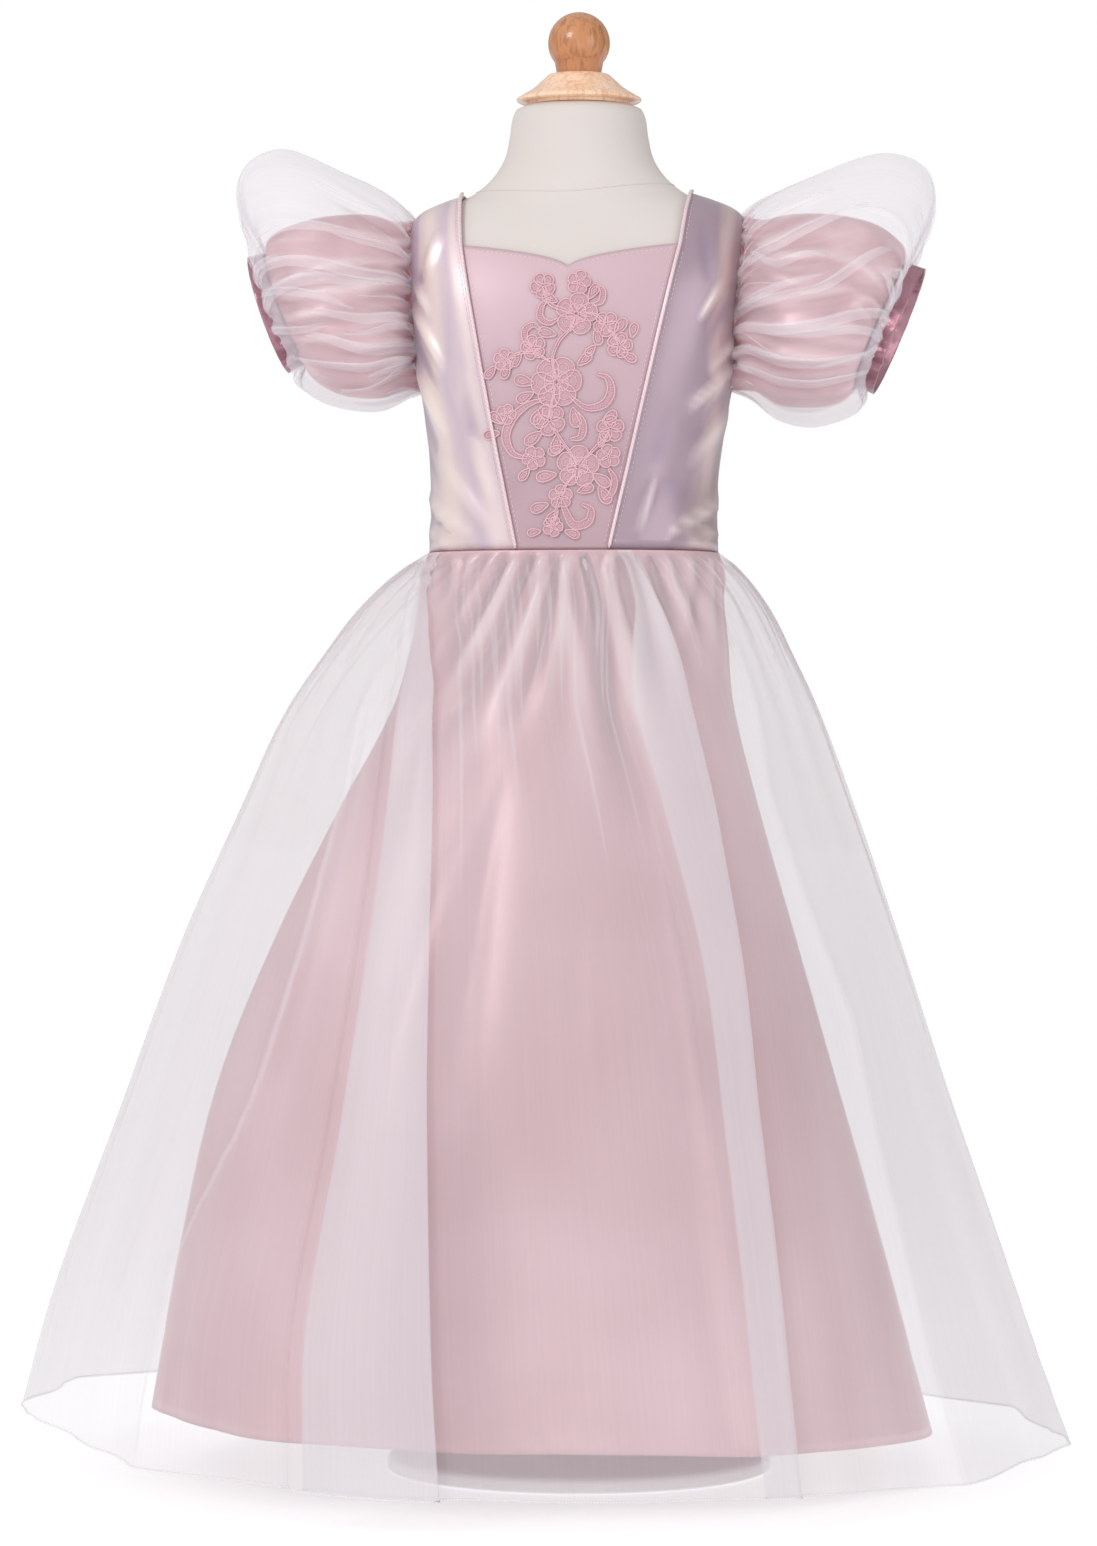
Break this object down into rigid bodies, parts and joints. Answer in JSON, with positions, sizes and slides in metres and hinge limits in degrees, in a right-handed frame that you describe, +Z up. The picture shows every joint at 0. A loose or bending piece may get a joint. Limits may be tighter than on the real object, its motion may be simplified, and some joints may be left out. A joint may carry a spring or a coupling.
{
  "type": "princess costume dress on a limbless dress form",
  "caption": "Child's princess costume dress with puffed sleeves, lace front panel and full layered skirt, on a limbless dress form with a wooden neck cap and a round stand.",
  "frame": {"origin": "centre of the underside of the stand's round base, on the floor", "axes": "+Z up; the front of the dress faces -Y; +X is the wearer's left side, at the right of the picture"},
  "size_m": [0.7091, 0.635, 0.9891],
  "materials": {
    "lame": "soft metallic satin, pale lilac champagne",
    "satin": "pink satin",
    "mesh_panel": "mauve satin under a sheer overlay",
    "lace": "corded pink lace",
    "piping": "satin piping",
    "organza": "sheer white organza with a slight lustre",
    "foil_cuff": "pink foil cloth",
    "form_cover": "matt off-white cotton",
    "beech": "lacquered beech",
    "stand_steel": "white powder coat"
  },
  "bodies": {
    "root": {"bodice_back_left": "lame", "bodice_back_right": "lame", "bodice_centre_front": "mesh_panel", "bodice_side_front_left": "lame", "bodice_side_front_right": "lame", "form_ball": "beech", "form_neck_cap": "beech", "form_torso": "form_cover", "lace_applique": "lace", "organza_skirt_front": "organza", "organza_skirt_left": "organza", "organza_skirt_right": "organza", "piping_left": "piping", "piping_right": "piping", "satin_skirt_back_left": "satin", "satin_skirt_back_right": "satin", "satin_skirt_front": "satin", "sleeve_cuff_left": "foil_cuff", "sleeve_cuff_right": "foil_cuff", "sleeve_organza_left": "organza", "sleeve_organza_right": "organza", "sleeve_satin_left": "satin", "sleeve_satin_right": "satin", "stand_base": "stand_steel", "stand_pole": "stand_steel"}
  },
  "joints": []
}
